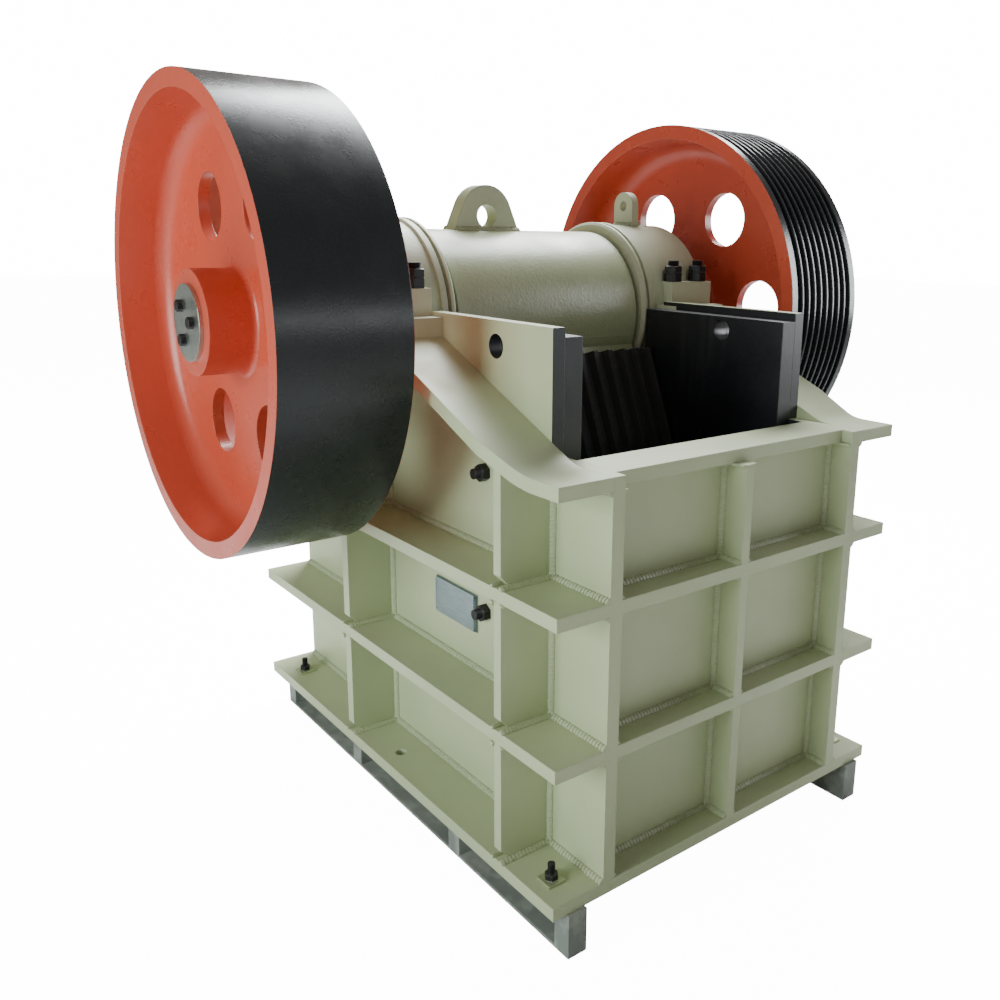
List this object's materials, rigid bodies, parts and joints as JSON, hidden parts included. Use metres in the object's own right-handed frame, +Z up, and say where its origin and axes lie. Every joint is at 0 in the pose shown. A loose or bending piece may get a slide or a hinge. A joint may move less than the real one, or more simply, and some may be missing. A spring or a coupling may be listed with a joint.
{
  "type": "jaw crusher",
  "caption": "Single-toggle jaw crusher: ribbed box frame on skid rails, swing jaw hung on an eccentric shaft between a flywheel and a V-belt sheave.",
  "frame": {"origin": "on the floor under the middle of the machine's box", "axes": "+X along the eccentric shaft towards the grooved sheave, +Y from the feed front to the rear, +Z up"},
  "size_m": [1.75, 1.456, 1.766],
  "materials": {
    "body_paint": "satin paint, pale grey-green",
    "wheel_paint": "satin orange-red paint, black on the running faces of the rims",
    "black_paint": "satin black paint",
    "jaw_steel": "dark cast manganese steel",
    "bolt_steel": "blackened steel",
    "bright_steel": "machined steel",
    "skid_paint": "grey primer",
    "plate_metal": "blank dull metal plate"
  },
  "bodies": {
    "frame": {"base_bolts_left": "bolt_steel", "base_bolts_right": "bolt_steel", "base_plate": "body_paint", "bearing_cap_left": "body_paint", "bearing_cap_right": "body_paint", "bearing_seat_left": "body_paint", "bearing_seat_right": "body_paint", "cap_bolts_left": "bolt_steel", "cap_bolts_right": "bolt_steel", "cap_eye_left": "body_paint", "cap_eye_right": "body_paint", "cheek_bolts_left": "bolt_steel", "cheek_bolts_right": "bolt_steel", "cheek_plate_left": "black_paint", "cheek_plate_right": "black_paint", "fixed_jaw_plate": "jaw_steel", "front_beam": "body_paint", "front_centre_rib": "body_paint", "front_rib_lower": "body_paint", "front_rib_upper": "body_paint", "front_wall": "body_paint", "nameplate": "plate_metal", "rear_beam": "body_paint", "rear_wall": "body_paint", "seal_ring_left": "body_paint", "seal_ring_right": "body_paint", "side_level_lower_left": "body_paint", "side_level_lower_right": "body_paint", "side_level_upper_left": "body_paint", "side_level_upper_right": "body_paint", "side_plate_left": "body_paint", "side_plate_right": "body_paint", "side_rib_front_left": "body_paint", "side_rib_front_right": "body_paint", "side_rib_rear_left": "body_paint", "side_rib_rear_right": "body_paint", "skid_cross_1": "skid_paint", "skid_cross_2": "skid_paint", "skid_cross_3": "skid_paint", "skid_rail_left": "skid_paint", "skid_rail_right": "skid_paint", "toggle_plate": "jaw_steel", "top_flange_left": "body_paint", "top_flange_right": "body_paint"},
    "rotor": {"eccentric_shaft": "bright_steel", "flywheel": "wheel_paint", "sheave": "wheel_paint", "end_disc_left": "bright_steel", "end_disc_right": "bright_steel", "end_bolts_left": "bolt_steel", "end_bolts_right": "bolt_steel"},
    "pitman": {"pitman": "body_paint", "pitman_ring": "body_paint", "swing_jaw_plate": "jaw_steel"}
  },
  "joints": [
    {"name": "rotor_spin", "type": "hinge", "parent": "frame", "child": "rotor", "pos_m": [0, 0.195, 1.233], "axis": [1, 0, 0], "continuous": true},
    {"name": "pitman_swing", "type": "hinge", "parent": "rotor", "child": "pitman", "pos_m": [0, 0.195, 1.221], "axis": [1, 0, 0], "continuous": true}
  ],
  "couplings": [
    {"joint": "pitman_swing", "follows": "rotor_spin", "ratio": -1}
  ]
}
